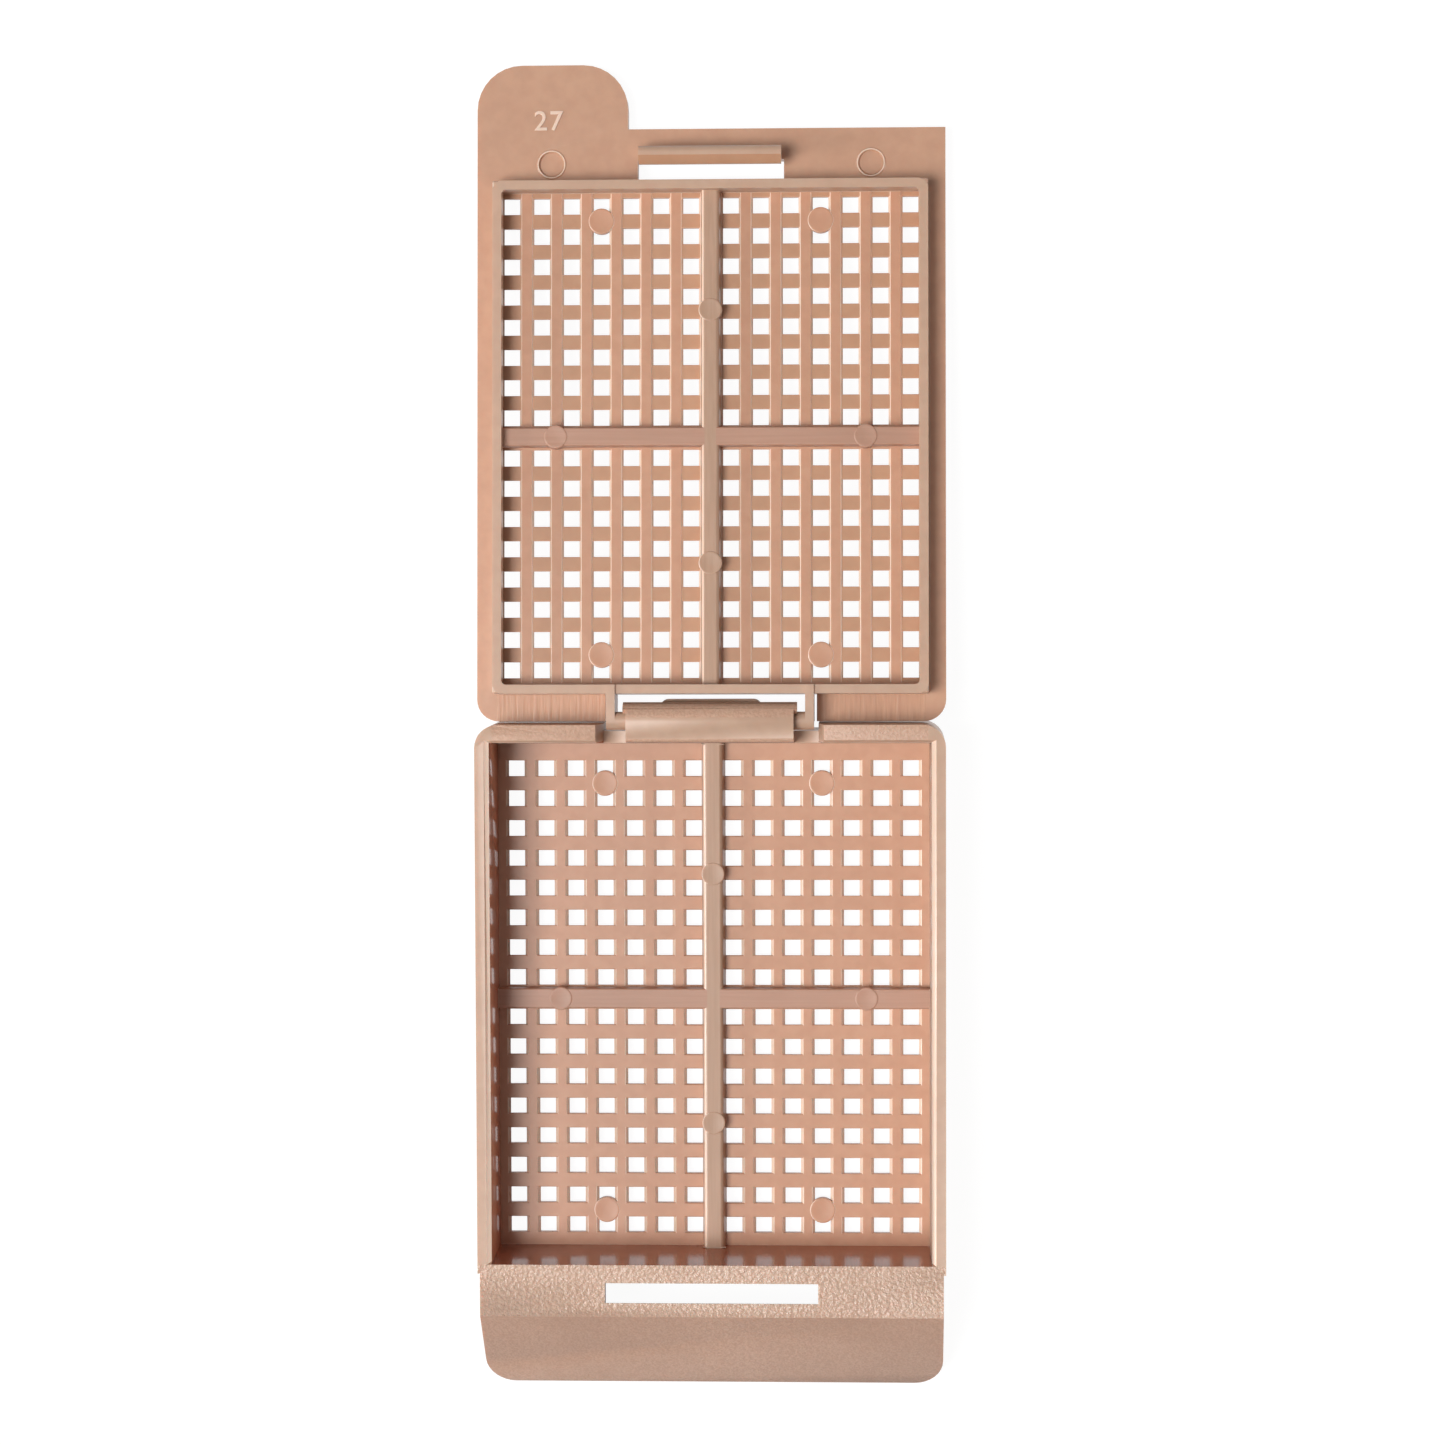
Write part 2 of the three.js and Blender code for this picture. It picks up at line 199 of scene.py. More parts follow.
# Middles of the holes, counted from the middle strips.
def holeX(count):
    return (panel["middleStripX"] + panel["hole"][0]) / 2 + count * panel["pitchX"]


def holeY(count):
    return (panel["middleStripY"] + panel["hole"][1]) / 2 + count * panel["pitchY"]


# Middles of the outermost bars.
def fieldEnds():
    endX = holeX(panel["columnsPerSide"] - 1) + panel["pitchX"] / 2
    endY = holeY(panel["rowsPerSide"] - 1) + panel["pitchY"] / 2
    return endX, endY


# Takes the whole field of holes out of a moulding. The outermost bars fill its edge again.
def fieldTool(centreY, topZ):
    past = 0.5  # above and below the plate
    within = 0.15  # inside the middles of the outermost bars
    endX, endY = [end - within for end in fieldEnds()]
    zLimits = (topZ - panel["thickness"] - past, topZ + past)
    return roundedBlock("field", (-endX, endX), (centreY - endY, centreY + endY), zLimits, 0)


# Takes the solid's plain ribs and pads away between the walls.
def spaceTool(centreY, topZ, style):
    insideX = (-style["insideX"], style["insideX"])
    insideY = [centreY + y for y in style["insideY"]]
    return roundedBlock("space", insideX, insideY, (topZ, topZ + style["cleared"]), 0)


# Bars, ribs and pads of one panel. topZ is its inner face, which always looks up here.
def panelBars(name, centreY, topZ, style):
    bars = holeBars(centreY, topZ, style)
    bars += middleRibs(centreY, topZ, style["rib"])
    bars += ejectorPads(centreY, topZ, topZ + style["rib"]["height"])
    whole = bars.pop(0)
    combine(whole, bars, "UNION")
    whole.name = name
    return whole


def holeBars(centreY, topZ, style):
    chamferX, chamferY = style["chamfer"]
    draft = panel["draft"]
    endX, endY = fieldEnds()
    runX = (-endX, endX)
    runY = (centreY - endY, centreY + endY)
    fullZ = (topZ - panel["thickness"], topZ)
    lowZ = (fullZ[0], topZ - style["barStep"])
    halfX = (panel["pitchX"] - panel["neck"][0]) / 2
    halfY = (panel["pitchY"] - panel["neck"][1]) / 2
    bars = []
    for side in (-1, 1):
        for k in range(panel["columnsPerSide"]):
            x = side * (holeX(k) + panel["pitchX"] / 2)
            xLimits = (x - halfX, x + halfX)
            bars.append(roundedBlock("bar", xLimits, runY, fullZ, chamferX, 1, (-draft, 0)))
        for k in range(panel["rowsPerSide"]):
            y = centreY + side * (holeY(k) + panel["pitchY"] / 2)
            yLimits = (y - halfY, y + halfY)
            bars.append(roundedBlock("bar", runX, yLimits, lowZ, chamferY, 1, (0, -draft)))
    stripX = holeX(0) - panel["neck"][0] / 2
    stripY = holeY(0) - panel["neck"][1] / 2
    xLimits = (-stripX, stripX)
    yLimits = (centreY - stripY, centreY + stripY)
    bars.append(roundedBlock("strip", xLimits, runY, fullZ, chamferX, 1, (-draft, 0)))
    bars.append(roundedBlock("strip", runX, yLimits, fullZ, chamferY, 1, (0, -draft)))
    return bars


def middleRibs(centreY, topZ, rib):
    foot = 0.2  # how deep the ribs go into the plate
    steps = 4  # facets of their rounded tops
    leanX, leanY = rib["lean"]
    radiusX, radiusY = rib["radius"]
    ribX = (-rib["topX"] / 2, rib["topX"] / 2)
    ribY = (centreY - rib["topY"] / 2, centreY + rib["topY"] / 2)
    reachX = (-rib["reachX"], rib["reachX"])
    reachY = (centreY - rib["reachY"][0], centreY + rib["reachY"][1])
    ribZ = (topZ - foot, topZ + rib["height"])
    return [
        roundedBlock("longRib", ribX, reachY, ribZ, radiusX, steps, (leanX, 0)),
        roundedBlock("crossRib", reachX, ribY, ribZ, radiusY, steps, (0, leanY)),
    ]


# Four pads stand between the holes near the corners, and two on each rib.
def ejectorPads(centreY, topZ, ribTop):
    foot = 0.4  # how deep the corner pads go into the plate
    clear = 0.02  # from the plate to the foot of the pads on the ribs
    radius = panel["padRadius"]
    ribRadius = panel["ribPadShare"] * radius
    cornerX = holeX(panel["cornerPad"][0])
    cornerY = holeY(panel["cornerPad"][1])
    low = (topZ - foot, topZ + panel["padProud"])
    high = (topZ + clear, ribTop + panel["padProud"])
    pads = []
    for side in (-1, 1):
        pads += [
            ejectorPad((-cornerX, centreY + side * cornerY), radius, low),
            ejectorPad((cornerX, centreY + side * cornerY), radius, low),
            ejectorPad((side * holeX(panel["sidePad"]), centreY), ribRadius, high),
            ejectorPad((0, centreY + side * holeY(panel["endPad"])), ribRadius, high),
        ]
    return pads


# The spot that an ejector pin leaves: a low pad with a soft rim and a shallow hollow.
def ejectorPad(centre, radius, zLimits):
    low, high = zLimits
    proud = panel["padProud"]
    lip = panel["padLip"]
    rim = ((1, 1), (0.4, 0.5), (0, 0.1))  # shares of padProud, outwards and down
    lipTop = 0.4  # where the lip is highest, as a share of its width
    dishSteps = 7
    profile = [(0, low), (radius + proud, low)]
    profile += [(radius + proud * out, high - proud * down) for out, down in rim]
    profile.append((radius - lip * lipTop, high))
    for k in range(dishSteps, -1, -1):
        share = k / dishSteps
        profile.append(((radius - lip) * share, high - panel["padDish"] * (1 - share ** 2)))
    return turnedPiece("pad", centre, profile)


# What differs between the two mouldings. The pairs in a rib are for the long rib and then the cross
# rib: how far the foot of its sides stands out, and the radius along its top. reachY is how far the
# long rib runs to the front and to the rear.
baseStyle = {
    "rib": {
        "height": 0.8, "topX": 1.12, "topY": 1.2, "lean": (0.18, 0.05), "radius": (0.18, 0.09),
        "reachX": 13.4, "reachY": (15.5, 15.8),
    },
    "insideX": 13.1,  # the space between the walls
    "insideY": (-15.2, 15.45),
    "cleared": 1.5,  # height of the space that the solid's own ribs and pads leave
    "chamfer": (0.2, 0.06),  # beside the holes, before and behind them
    "barStep": 0,  # how far the bars along X lie below the others
    "edge": 0.12,  # radius of the soft edges
    "floorTop": 1.0,
}

lidStyle = {
    "rib": {
        "height": 0.9, "topX": 1.0, "topY": 1.1, "lean": (0.14, 0.04), "radius": (0.16, 0.09),
        "reachX": 12.7, "reachY": (15.0, 15.1),
    },
    "insideX": 12.5,
    "insideY": (-14.89, 14.78),
    "cleared": 1.2,
    "chamfer": (0.15, 0.06),
    "barStep": 0.06,
    "edge": 0.12,
    "innerFaceDrop": 1.2,  # from the hinge axis down to the plate's inner face, lid lying flat
    "frameX": 13.04,
    "frameY": (-15.433, 15.323),
    "frameWall": 0.54,
    "frameDepth": 1.597,
    "foot": 0.3,  # how deep the frame's corners and the pin rings go into the plate
}


def makeBase():
    base = copyNode("base", "cassetteBase")
    floor = baseStyle["floorTop"]
    combine(base, [fieldTool(0, floor), spaceTool(0, floor, baseStyle)], "DIFFERENCE")
    at = baseFinishPlaces
    planes = [((0, y, 0), (0, 1, 0)) for y in (at["rimFront"], at["rimRear"])]
    planes += [((x, 0, 0), (1, 0, 0)) for x in (-at["ledgeHalf"], at["ledgeHalf"])]
    splitByFinish(base, planes, baseFinish)
    dissolveFlats(base)
    roundEdges(base, baseStyle["edge"])
    print("base moulding rounded", len(base.data.polygons))
    combine(base, [panelBars("basePanel", 0, floor, baseStyle)], "UNION")
    return base


# The lid is modelled lying flat behind the base, and then leans back as far as the hinge lets it.
hinge = next(j for j in frame["record"]["behaviour"]["joints"] if j["name"] == "lid_hinge")
hingePlace = Vector(hinge["pos_m"]) / millimetre
openLean = math.radians(hinge["range_deg"][1] - 180)


def turnAboutHinge(angle):
    there = Matrix.Translation(hingePlace)
    return there @ Matrix.Rotation(angle, 4, "X") @ there.inverted()


# The frame's upright corners are almost sharp.
def frameCorners(centreY, topZ):
    wall = lidStyle["frameWall"]
    x = lidStyle["frameX"]
    posts = []
    for side in (-1, 1):
        for y in lidStyle["frameY"]:
            inner = y - math.copysign(wall, y)
            xLimits = sorted((side * (x - wall), side * x))
            yLimits = sorted((centreY + inner, centreY + y))
            zLimits = (topZ - lidStyle["foot"], topZ + lidStyle["frameDepth"])
            posts.append(roundedBlock("corner", xLimits, yLimits, zLimits, lidStyle["edge"]))
    return posts


def makeLid():
    lid = copyNode("lid", "cassetteLid", turnAboutHinge(openLean))
    centreY = 2 * hingePlace.y
    topZ = hingePlace.z - lidStyle["innerFaceDrop"]
    combine(lid, [fieldTool(centreY, topZ), spaceTool(centreY, topZ, lidStyle)], "DIFFERENCE")
    at = lidFinishPlaces
    planes = [((0, centreY - at["stripY"], 0), (0, 1, 0))]
    planes += [((side * at["stripHalf"], 0, 0), (1, 0, 0)) for side in (-1, 1)]
    splitByFinish(lid, planes, lidFinish)
    dissolveFlats(lid)
    roundEdges(lid, lidStyle["edge"])
    print("lid moulding rounded", len(lid.data.polygons))
    details = [panelBars("lidPanel", centreY, topZ, lidStyle)]
    details += frameCorners(centreY, topZ)
    details += [pinRing(place, centreY, topZ) for place in lidMarks["ringPlaces"]]
    details.append(mouldedNumber(centreY, topZ))
    combine(lid, details, "UNION")
    return lid


# The number and the pin marks stand on the lid's inner face. Places are from its panel's middle.
lidMarks = {
    "number": "27",
    "numberHeight": 1.15,
    "numberProud": 0.055,
    "numberBevel": 0.02,
    "numberWeight": 0.0,  # how much each stroke is fattened
    "numberSpacing": 1.12,
    "numberPlace": (-9.8, 19.1),
    "ringPlaces": ((-9.62, 16.52), (9.62, 16.52)),
    "ringRadius": 0.81,
    "ringWidth": 0.2,
    "ringProud": 0.055,
}


def mouldedNumber(centreY, topZ):
    digitShare = 0.69  # a digit's height beside the font's size
    words = bpy.data.curves.new("number", "FONT")
    words.body = lidMarks["number"]
    words.align_x = "CENTER"
    words.align_y = "CENTER"
    words.size = lidMarks["numberHeight"] / digitShare
    words.extrude = lidMarks["numberProud"] - lidMarks["numberBevel"]
    words.offset = lidMarks["numberWeight"]
    words.bevel_depth = lidMarks["numberBevel"]
    words.bevel_resolution = 1
    words.space_character = lidMarks["numberSpacing"]
    text = bpy.data.objects.new("number", words)
    bpy.context.scene.collection.objects.link(text)
    bpy.context.view_layer.update()
    applied = bpy.data.meshes.new_from_object(
        text.evaluated_get(bpy.context.evaluated_depsgraph_get())
    )
    bpy.data.objects.remove(text)
    bm = bmesh.new()
    bm.from_mesh(applied)
    bmesh.ops.remove_doubles(bm, verts=bm.verts[:], dist=weld["made"])
    x, y = lidMarks["numberPlace"]
    bmesh.ops.translate(bm, vec=(x, centreY + y, topZ), verts=bm.verts[:])
    return addObject("number", bm)


def pinRing(place, centreY, topZ):
    outer = lidMarks["ringRadius"] + lidMarks["ringWidth"] / 2
    inner = outer - lidMarks["ringWidth"]
    high = topZ + lidMarks["ringProud"]
    low = topZ - lidStyle["foot"]
    soft = lidMarks["ringWidth"] / 3  # each side slopes over a third of the width
    profile = [
        (outer, low),
        (outer, topZ),
        (outer - soft, high),
        (inner + soft, high),
        (inner, topZ),
        (inner, low),
        (outer, low),
    ]
    return turnedPiece("ring", (place[0], centreY + place[1]), profile)


def linearColour(hexColour):
    values = [int(hexColour[i:i + 2], 16) / 255 for i in (1, 3, 5)]
    return [v / 12.92 if v <= 0.04045 else ((v + 0.055) / 1.055) ** 2.4 for v in values] + [1]


def addNode(tree, kind, settings=(), **links):
    node = tree.nodes.new("ShaderNode" + kind)
    for key, value in dict(settings).items():
        if key in node.inputs:
            node.inputs[key].default_value = value
        else:
            setattr(node, key, value)
    for key, source in links.items():
        tree.links.new(source, node.inputs[key.replace("_", " ")])
    return node


# Injection-moulded acetal, a satin, slightly waxy plastic. Light goes about a millimetre into it,
# so thin bars and edges look warmer than thick ribs; the thin bars' colour adds painted glow. Sizes
# are in millimetres.
acetal = {
    "ior": 1.48,
    "glow": 0.22,  # share of the light that comes back out from below the surface
    "glowReach": (1.0, 0.42, 0.26),  # of red, green and blue, as shares of glowDepth
    "glowDepth": 0.9,
    "flowSpacing": 6,  # between the slow flow marks of the melt
}

# Each finish is one texture of the mould's steel. Ground, filed and eroded steel has a grain of
# 0.02 to 0.08 mm, too fine to show, so it is drawn 0.15 to 0.23 mm wide, and deeper to match.
# Several finishes also carry painted light or shade, as said at each.
acetalFinishes = {
    # Polished steel gives the thick walls and the lid's frame an even satin.
    "polishedAcetal": {
        "colour": "#C7A58D", "shade": "#BB9881", "roughness": 0.36,
        "grain": (0.9, 0.9, 0.9), "depth": 0.0012,
    },
    # Polished thin bars; their colour, warmer than the walls', is painted glow for light coming
    # through them.
    "thinPanelPaintedGlowAcetal": {
        "colour": "#CC9A7D", "shade": "#BF8C6F", "roughness": 0.34,
        "grain": (0.9, 0.9, 0.9), "depth": 0.0012,
    },
    # Slots ground lengthways leave faint lines along the long rib, which spread the side light.
    "groundRibAcetal": {
        "colour": "#BC9880", "shade": "#AC8970", "roughness": 0.34,
        "grain": (0.2, 6.0, 0.2), "depth": 0.004,
    },
    # Grinding lines run along the cross rib as well; its duller, redder tone is painted shade.
    "crossRibPaintedShadeAcetal": {
        "colour": "#BC907A", "shade": "#AE836C", "roughness": 0.4,
        "grain": (6.0, 0.2, 0.2), "depth": 0.004,
    },
    # The lid's lower bars and the faces of its latch's nose that look to the frame take a darker
    # golden tone of painted shade, for the shadow of the bars above them and of the nose's
    # overhang.
    "barAndNosePaintedShadeAcetal": {
        "colour": "#C49474", "shade": "#B9896A", "roughness": 0.36,
        "grain": (0.9, 0.9, 0.9), "depth": 0.0012,
    },
    # The lid's broad plate is a little glossier than the walls and warmer.
    "polishedPlateAcetal": {
        "colour": "#CB9E82", "shade": "#BD9076", "roughness": 0.32,
        "grain": (0.9, 0.9, 0.9), "depth": 0.0012,
    },
    # Chamfers, left-facing edges, raised lips and the number are pale lines of painted highlight.
    "paintedHighlightAcetal": {
        "colour": "#F0D4C0", "shade": "#E8C8B2", "roughness": 0.25,
        "grain": (0.9, 0.9, 0.9), "depth": 0.0012,
    },
    # Walls that slid off mirror-polished steel are glossy and grey, and mirror the holes.
    "glossyWallAcetal": {
        "colour": "#A38877", "shade": "#997D6B", "roughness": 0.22,
        "grain": (1.6, 1.6, 1.6), "depth": 0.001,
    },
    # The same gloss on the left and front walls, which face away from the lamps: a deep warm brown
    # of painted shade.
    "glossyPaintedShadeAcetal": {
        "colour": "#BE7C60", "shade": "#B07056", "roughness": 0.18,
        "grain": (1.6, 1.6, 1.6), "depth": 0.001,
    },
    # Coarse spark-eroded steel makes a pebbled flat that sparkles.
    "sparkErodedAcetal": {
        "colour": "#D6B6A1", "shade": "#BC9780", "roughness": 0.28,
        "grain": (0.23, 0.23, 0.23), "depth": 0.11,
    },
    # Finely spark-eroded steel gives the rear ledges and the hinge's roof a soft grain.
    "fineErodedAcetal": {
        "colour": "#CFA991", "shade": "#B48D75", "roughness": 0.42,
        "grain": (0.16, 0.16, 0.16), "depth": 0.035,
    },
    # The writing slope is eroded finest, to take ink and pencil, and is quite matt.
    "mattSlopeAcetal": {
        "colour": "#C09B86", "shade": "#A27E69", "roughness": 0.5,
        "grain": (0.15, 0.15, 0.15), "depth": 0.03,
    },
    # Steel filed one way leaves long streaks along Y on the lid's rear strip.
    "drawFiledAcetal": {
        "colour": "#CFA183", "shade": "#B08268", "roughness": 0.34,
        "grain": (0.2, 9.0, 0.2), "depth": 0.022,
    },
}


def mouldedAcetal(name):
    finish = acetalFinishes[name]
    material = bpy.data.materials.new(name)
    material.use_nodes = True
    tree = material.node_tree
    shader = tree.nodes["Principled BSDF"]
    shader.inputs["IOR"].default_value = acetal["ior"]
    shader.inputs["Roughness"].default_value = finish["roughness"]
    shader.inputs["Subsurface Weight"].default_value = acetal["glow"]
    shader.inputs["Subsurface Radius"].default_value = acetal["glowReach"]
    shader.inputs["Subsurface Scale"].default_value = acetal["glowDepth"] * millimetre
    place = addNode(tree, "TexCoord").outputs["Object"]
    grainScale = [1 / (g * millimetre) for g in finish["grain"]]
    stretched = addNode(tree, "Mapping", {"Scale": grainScale}, Vector=place)
    grain = addNode(
        tree, "TexNoise", {"Scale": 1.0, "Detail": 2.0, "Roughness": 0.5},
        Vector=stretched.outputs["Vector"],
    )
    flowScale = 1 / (acetal["flowSpacing"] * millimetre)
    flow = addNode(
        tree, "TexNoise", {"Scale": flowScale, "Detail": 3.0, "Distortion": 0.6}, Vector=place
    )
    flowLevel = addNode(
        tree, "MapRange", {"From Min": 0.1, "From Max": 0.7, "To Min": 0.45},
        Value=flow.outputs["Fac"],
    )
    tone = addNode(
        tree, "MixRGB",
        {"Color1": linearColour(finish["shade"]), "Color2": linearColour(finish["colour"])},
        Fac=flowLevel.outputs["Result"],
    )
    grainLevel = addNode(
        tree, "MapRange", {"From Min": 0.35, "From Max": 0.65, "To Min": 0.0, "To Max": 0.5},
        Value=grain.outputs["Fac"],
    )
    speckled = addNode(
        tree, "MixRGB", {"Color2": linearColour(finish["shade"])},
        Fac=grainLevel.outputs["Result"], Color1=tone.outputs["Color"],
    )
    tree.links.new(speckled.outputs["Color"], shader.inputs["Base Color"])
    bump = addNode(
        tree, "Bump", {"Strength": 1.0, "Distance": finish["depth"] * millimetre},
        Height=grain.outputs["Fac"],
    )
    tree.links.new(bump.outputs["Normal"], shader.inputs["Normal"])
    return material


# Gives each face its finish and shades it: level and upright faces flat, the rest smooth.
def finishPiece(piece, node, body, chooseFinish):
    uprightFrom, levelFrom = 0.997, 0.9999  # how much of a face's normal lies along an axis
    sharpFrom = math.radians(33)
    names = list(acetalFinishes)
    for polygon in piece.data.polygons:
        low, high = reachOf([piece.data.vertices[i].co for i in polygon.vertices])
        polygon.material_index = names.index(chooseFinish(low, high, polygon.normal))
        sideways = max(abs(polygon.normal.x), abs(polygon.normal.y))
        polygon.use_smooth = sideways < uprightFrom and abs(polygon.normal.z) < levelFrom
    indices = [polygon.material_index for polygon in piece.data.polygons]
    piece.data.materials.clear()
    for name in names:
        piece.data.materials.append(materials[name])
    for polygon, index in zip(piece.data.polygons, indices):
        polygon.material_index = index
    piece.data.set_sharp_from_angle(angle=sharpFrom)
    weighted = piece.modifiers.new("flat faces", "WEIGHTED_NORMAL")
    weighted.keep_sharp = True
    weighted.weight = 100
    applyModifiers(piece)
    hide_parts(node)
    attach(piece, body)
    print(piece.name, len(piece.data.polygons), "faces")


# A finish is chosen by where a face lies and where it looks. near allows for rounding.
near = 0.01
looksUp = 0.99


# Whether a face belongs to the floor and ribs inside the walls.
def withinWalls(low, high, style):
    inWall = 0.8  # how far a face may run on into the wall
    offWall = 0.03  # the least distance from its middle to the wall
    middle = (low + high) / 2
    half = style["insideX"]
    front, rear = style["insideY"]
    if max(-low.x, high.x) > half + inWall or low.y < front - inWall or high.y > rear + inWall:
        return False
    return abs(middle.x) < half - offWall and front + offWall < middle.y < rear - offWall


# The slanting or rounded side of an edge that runs along Y.
def slantsAcross(normal):
    return 0.35 < abs(normal.x) < 0.95 and normal.z > 0.2


def leftEdge(normal):
    return slantsAcross(normal) and normal.x < 0 and abs(normal.y) < 0.2


# The ribs are ground lengthways. Hole chamfers and the long rib's left slant are painted pale as
# highlight, the lid's lower bars darker as shade, and the cross rib a darker tone of painted shade.
def panelFinish(low, high, normal, topZ):
    ribFrom = topZ + 0.06  # the pads on the plate end below this
    longRibHalf = 0.95  # faces that reach further out are the cross rib's
    if high.z < ribFrom:
        if slantsAcross(normal):
            return "paintedHighlightAcetal"
        # The lid's lower bars, beside the raised bars along Y, are painted darker as shade.
        shadedLowBar = normal.z > looksUp and topZ - 0.1 < high.z < topZ - near
        return "barAndNosePaintedShadeAcetal" if shadedLowBar else "thinPanelPaintedGlowAcetal"
    if max(-low.x, high.x) > longRibHalf:
        return "crossRibPaintedShadeAcetal"
    return "paintedHighlightAcetal" if slantsAcross(normal) and normal.x < 0 else "groundRibAcetal"


# Where one finish of the base ends and the next begins. A face is on top if it lies no further
# below the rim than band.
baseFinishPlaces = {
    "rimZ": 6.0, "rimFront": -15.55, "rimRear": 15.81, "band": 0.3, "chamferX": (13.15, 13.55),
    "bayHalf": 6.6, "ledgeHalf": 13.0, "ledgeZ": 5.95,
    "roofHalf": 5.3, "roofY": 15.83, "roofFoot": 4.8,
    "cavityHalf": 13.25, "floorZ": 1.0, "padTop": 1.9,
}


def baseFinish(low, high, normal):
    at = baseFinishPlaces
    middle = (low + high) / 2
    onTop = middle.z > at["rimZ"] - at["band"]
    if high.y < at["rimFront"] + near:
        return "sparkErodedAcetal" if onTop and normal.z > 0.9 else "mattSlopeAcetal"
    behindTray = low.y > at["rimRear"] - near
    if behindTray and middle.z > at["ledgeZ"] and normal.z > looksUp:
        onLedge = at["bayHalf"] < abs(middle.x) < at["ledgeHalf"]
        return "fineErodedAcetal" if onLedge else "polishedAcetal"
    beforeRoof = middle.y < at["roofY"]
    onRoof = abs(middle.x) < at["roofHalf"] and middle.z > at["roofFoot"] and not beforeRoof
    if onRoof and abs(normal.x) < 0.9:
        return "fineErodedAcetal"
    if withinWalls(low, high, baseStyle) and high.z < at["padTop"]:
        return panelFinish(low, high, normal, at["floorZ"])
    inner, outer = at["chamferX"]
    highlightedChamfer = inner < abs(middle.x) < outer and 0.5 < normal.z < 0.9
    # Rim chamfers and edges facing the left lamps are painted pale as highlight.
    if onTop and (highlightedChamfer or leftEdge(normal)):
        return "paintedHighlightAcetal"
    inCavity = abs(middle.x) < at["cavityHalf"] and beforeRoof and middle.z > at["floorZ"]
    if inCavity and abs(normal.z) < 0.5:
        # The left and front walls face away from the lamps and are painted a darker warm brown as
        # shade.
        shadedLeftOrFront = max(normal.x, normal.y) > 0.7
        return "glossyPaintedShadeAcetal" if shadedLeftOrFront else "glossyWallAcetal"
    return "polishedAcetal"


# The same for the lid, from the middle of its panel. Heights are above the plate's inner face.
lidFinishPlaces = {
    "stripY": 15.42, "stripHalf": 12.9, "frameOutside": (13.2, 15.6), "latchY": 16.0,
    "markTop": 0.1, "plateBand": 0.2, "stemTop": 0.5, "padTop": 1.0,
}


def lidFinish(low, high, normal):
    at = lidFinishPlaces
    centre = Vector((0, 2 * hingePlace.y, hingePlace.z - lidStyle["innerFaceDrop"]))
    low, high = low - centre, high - centre
    farX = max(-low.x, high.x)
    farY = max(-low.y, high.y)
    if withinWalls(low, high, lidStyle) and high.z < at["padTop"]:
        return panelFinish(low, high, normal, 0)
    onStrip = high.y < near - at["stripY"] and farX < at["stripHalf"] + near
    if onStrip and normal.z > looksUp and abs(low.z) < near:
        return "drawFiledAcetal"
    # The latch nose's faces towards the frame are painted darker as shade.
    if low.y > at["latchY"] and high.z > at["stemTop"] and normal.y < -0.3:
        return "barAndNosePaintedShadeAcetal"
    frameX, frameY = at["frameOutside"]
    inFrame = farX < frameX and farY < frameY
    if inFrame or abs(high.z) > at["plateBand"]:
        # Rims facing the left lamps are painted pale as highlight.
        highlightedRim = leftEdge(normal) and high.z > at["plateBand"]
        return "paintedHighlightAcetal" if highlightedRim else "polishedAcetal"
    # The number and pin rings are painted pale as highlight.
    highlightedMark = near < low.z and high.z < at["markTop"]
    return "paintedHighlightAcetal" if highlightedMark else "polishedPlateAcetal"


materials = {name: mouldedAcetal(name) for name in acetalFinishes}
base = makeBase()
finishPiece(base, "base", "base", baseFinish)
base.data.transform(Matrix.Scale(millimetre, 4))

lid = makeLid()
finishPiece(lid, "lid", "lid", lidFinish)
lid.data.transform(Matrix.Scale(millimetre, 4) @ turnAboutHinge(-openLean))
print("pieces made")

view = {
    "lens": 95.64,
    "sensor": 36,
    "place": (10.62, 28.3, 233.69),  # in millimetres, like the lens and the sensor
    "right": (0.99907, -0.00331, -0.04299),
    "up": (0.00118, 0.99877, -0.04957),
}


def addCamera():
    camera = bpy.data.cameras.new("camera")
    camera.lens = view["lens"]
    camera.sensor_width = view["sensor"]
    camera.clip_start = 0.01
    thing = bpy.data.objects.new("camera", camera)
    bpy.context.scene.collection.objects.link(thing)
    right = Vector(view["right"])
    up = Vector(view["up"])
    turned = Matrix((right, up, right.cross(up))).transposed().to_4x4()
    thing.matrix_world = Matrix.Translation(Vector(view["place"]) * millimetre) @ turned
    bpy.context.scene.camera = thing


# What the camera, glossy and transmitted rays see is white; the object is lit at a plain level.
def seenDirectly(tree):
    path = addNode(tree, "LightPath").outputs
    some = addNode(tree, "Math", {"operation": "MAXIMUM"})
    tree.links.new(path["Is Camera Ray"], some.inputs[0])
    tree.links.new(path["Is Glossy Ray"], some.inputs[1])
    every = addNode(tree, "Math", {"operation": "MAXIMUM"})
    tree.links.new(some.outputs[0], every.inputs[0])
    tree.links.new(path["Is Transmission Ray"], every.inputs[1])
    return every.outputs[0]


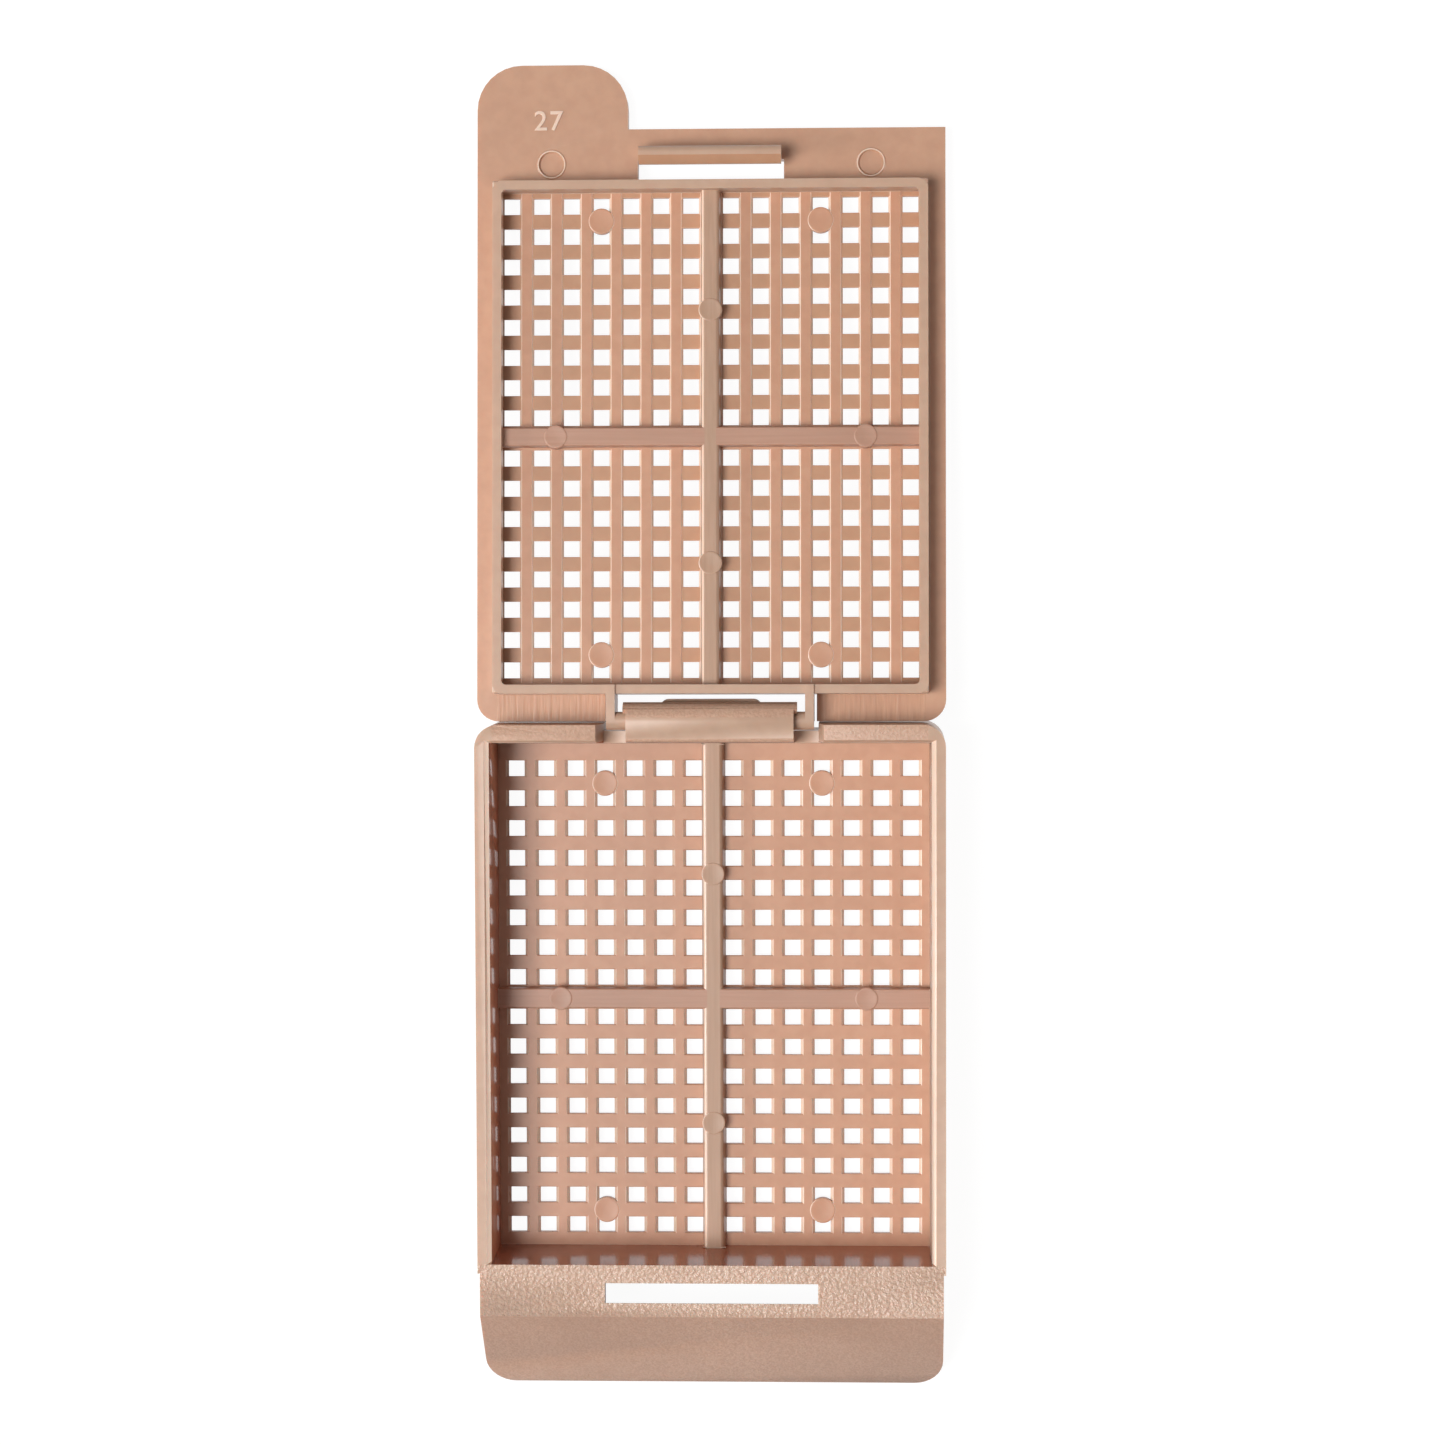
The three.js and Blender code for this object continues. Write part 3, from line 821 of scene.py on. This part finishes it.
# Places and sizes are in metres, and powers in watts.
studio = {
    "tableHalf": 3,
    "tableGlow": 0.95,
    "tableShade": 0.11,  # how much of the object's shadow the table keeps
    "tableWhite": 0.85,
    "worldLevel": 0.12,
    "aim": (0, 0.016, 0),
    "lamps": {  # place, size and power
        "key": ((-0.235, -0.06, 0.54), 0.27, 3.0),
        "lowLeft": ((-0.4, -0.04, 0.15), 0.1, 0.65),
        "lowRight": ((0.45, -0.02, 0.04), 0.08, 0.5),
    },
}


def addTable():
    grid = bmesh.new()
    bmesh.ops.create_grid(grid, x_segments=1, y_segments=1, size=studio["tableHalf"])
    table = addObject("table", grid)
    material = bpy.data.materials.new("whiteTable")
    material.use_nodes = True
    tree = material.node_tree
    tree.nodes.remove(tree.nodes["Principled BSDF"])
    white = addNode(tree, "BsdfDiffuse", {"Color": [studio["tableWhite"]] * 3 + [1]})
    shade = addNode(tree, "BsdfDiffuse", {"Color": [studio["tableShade"]] * 3 + [1]})
    glow = addNode(tree, "Emission", {"Strength": studio["tableGlow"]})
    seen = addNode(tree, "AddShader")
    tree.links.new(shade.outputs[0], seen.inputs[0])
    tree.links.new(glow.outputs[0], seen.inputs[1])
    choice = addNode(tree, "MixShader", Fac=seenDirectly(tree))
    tree.links.new(white.outputs[0], choice.inputs[1])
    tree.links.new(seen.outputs[0], choice.inputs[2])
    tree.links.new(choice.outputs[0], tree.nodes["Material Output"].inputs["Surface"])
    table.data.materials.append(material)


def addLamp(name, place, size, power):
    lamp = bpy.data.lights.new(name, "AREA")
    lamp.size = size
    lamp.energy = power
    thing = bpy.data.objects.new(name, lamp)
    bpy.context.scene.collection.objects.link(thing)
    thing.location = place
    aim = Vector(studio["aim"]) - Vector(place)
    thing.rotation_euler = aim.to_track_quat("-Z", "Y").to_euler()


def addWorld():
    world = bpy.data.worlds.new("studio")
    world.use_nodes = True
    tree = world.node_tree
    background = tree.nodes["Background"]
    background.inputs["Color"].default_value = (1, 1, 1, 1)
    level = addNode(
        tree, "MapRange", {"To Min": studio["worldLevel"], "To Max": 1.0}, Value=seenDirectly(tree)
    )
    tree.links.new(level.outputs["Result"], background.inputs["Strength"])
    bpy.context.scene.world = world


addCamera()
addTable()
addWorld()
for name, (place, size, power) in studio["lamps"].items():
    addLamp(name, place, size, power)
bpy.context.scene.view_settings.view_transform = "Standard"
print("camera, table and lights set")
